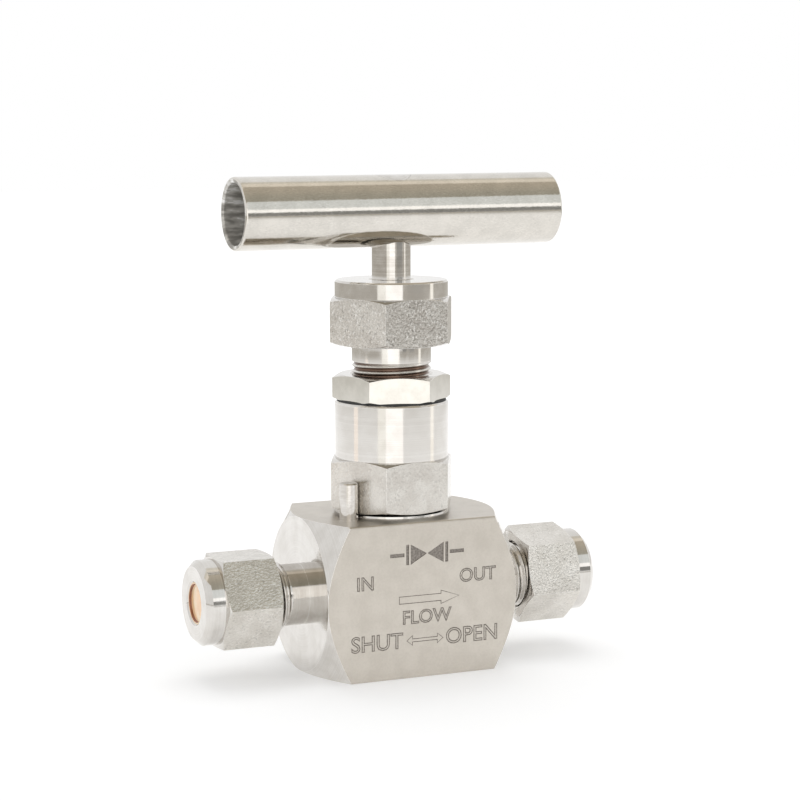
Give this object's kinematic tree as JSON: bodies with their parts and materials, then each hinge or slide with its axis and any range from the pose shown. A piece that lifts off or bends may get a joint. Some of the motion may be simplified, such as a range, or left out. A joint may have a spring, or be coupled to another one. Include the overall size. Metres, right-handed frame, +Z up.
{
  "type": "needle valve",
  "caption": "Needle valve on a square bar body, with a tube bar handle, a panel nut and a tube fitting at each end.",
  "frame": {"origin": "centre of the body's flat base", "axes": "+Z up along the stem, +X along the flow, -Y out of the marked face"},
  "size_m": [0.0692, 0.0254, 0.0805],
  "materials": {
    "body_steel": "satin, fine blasted",
    "nut_steel": "rough drawn flats, turned rounds",
    "tube_nut_steel": "rough drawn flats, turned rounds",
    "panel_nut_steel": "polished",
    "turned_steel": "turned",
    "stem_steel": "ground",
    "handle_steel": "polished tube",
    "pin_steel": "ground",
    "orange_plastic": "moulded",
    "black_rubber": "matt",
    "ptfe": "matt white"
  },
  "bodies": {
    "valve": {"valve_body": "body_steel", "lock_pin": "pin_steel", "bonnet": "turned_steel", "bonnet_nut": "nut_steel", "packing_washer": "turned_steel", "packing_rings": "ptfe"},
    "needle": {"lower_stem": "stem_steel"},
    "handle": {"upper_stem": "stem_steel", "handle_tube": "handle_steel"},
    "gland": {"packing_gland": "turned_steel"},
    "packing_nut": {"packing_nut": "nut_steel"},
    "panel_washer": {"panel_washer": "black_rubber"},
    "panel_nut": {"panel_nut": "panel_nut_steel"},
    "inlet_ferrules": {"inlet_front_ferrule": "turned_steel", "inlet_back_ferrule": "turned_steel"},
    "inlet_nut": {"inlet_nut": "tube_nut_steel"},
    "inlet_plug": {"inlet_plug": "orange_plastic"},
    "outlet_ferrules": {"outlet_front_ferrule": "turned_steel", "outlet_back_ferrule": "turned_steel"},
    "outlet_nut": {"outlet_nut": "tube_nut_steel"},
    "outlet_plug": {"outlet_plug": "orange_plastic"}
  },
  "joints": [
    {"name": "needle_lift", "type": "slide", "parent": "valve", "child": "needle", "axis": [0, 0, 1], "range_m": [0, 0.004]},
    {"name": "handle_turn", "type": "hinge", "parent": "needle", "child": "handle", "pos_m": [0, 0, 0.06], "axis": [0, 0, 1], "range_deg": [0, 1440]},
    {"name": "gland_press", "type": "slide", "parent": "valve", "child": "gland", "axis": [0, 0, -1], "range_m": [0, 0.0004], "deforming": ["packing_rings"]},
    {"name": "packing_nut_turn", "type": "hinge", "parent": "gland", "child": "packing_nut", "pos_m": [0, 0, 0.058], "axis": [0, 0, -1], "range_deg": [0, 113]},
    {"name": "panel_washer_slide", "type": "slide", "parent": "valve", "child": "panel_washer", "axis": [0, 0, 1], "range_m": [0, 0.0044]},
    {"name": "panel_nut_turn", "type": "hinge", "parent": "panel_washer", "child": "panel_nut", "pos_m": [0, 0, 0.046], "axis": [0, 0, 1], "range_deg": [0, 1245]},
    {"name": "inlet_ferrule_slide", "type": "slide", "parent": "valve", "child": "inlet_ferrules", "axis": [-1, 0, 0], "range_m": [0, 0.00635]},
    {"name": "inlet_nut_turn", "type": "hinge", "parent": "inlet_ferrules", "child": "inlet_nut", "pos_m": [-0.028, 0, 0.0127], "axis": [-1, 0, 0], "range_deg": [0, 1800]},
    {"name": "inlet_plug_pull", "type": "slide", "parent": "inlet_nut", "child": "inlet_plug", "axis": [-1, 0, 0], "range_m": [0, 0.05]},
    {"name": "outlet_ferrule_slide", "type": "slide", "parent": "valve", "child": "outlet_ferrules", "axis": [1, 0, 0], "range_m": [0, 0.00635]},
    {"name": "outlet_nut_turn", "type": "hinge", "parent": "outlet_ferrules", "child": "outlet_nut", "pos_m": [0.028, 0, 0.0127], "axis": [1, 0, 0], "range_deg": [0, 1800]},
    {"name": "outlet_plug_pull", "type": "slide", "parent": "outlet_nut", "child": "outlet_plug", "axis": [1, 0, 0], "range_m": [0, 0.05]}
  ],
  "couplings": [
    {"joint": "needle_lift", "follows": "handle_turn", "m_per_rad": 0.00015915},
    {"joint": "gland_press", "follows": "packing_nut_turn", "m_per_rad": 0.00020213},
    {"joint": "panel_washer_slide", "follows": "panel_nut_turn", "m_per_rad": 0.00020213},
    {"joint": "inlet_ferrule_slide", "follows": "inlet_nut_turn", "m_per_rad": 0.00020213},
    {"joint": "outlet_ferrule_slide", "follows": "outlet_nut_turn", "m_per_rad": 0.00020213}
  ]
}
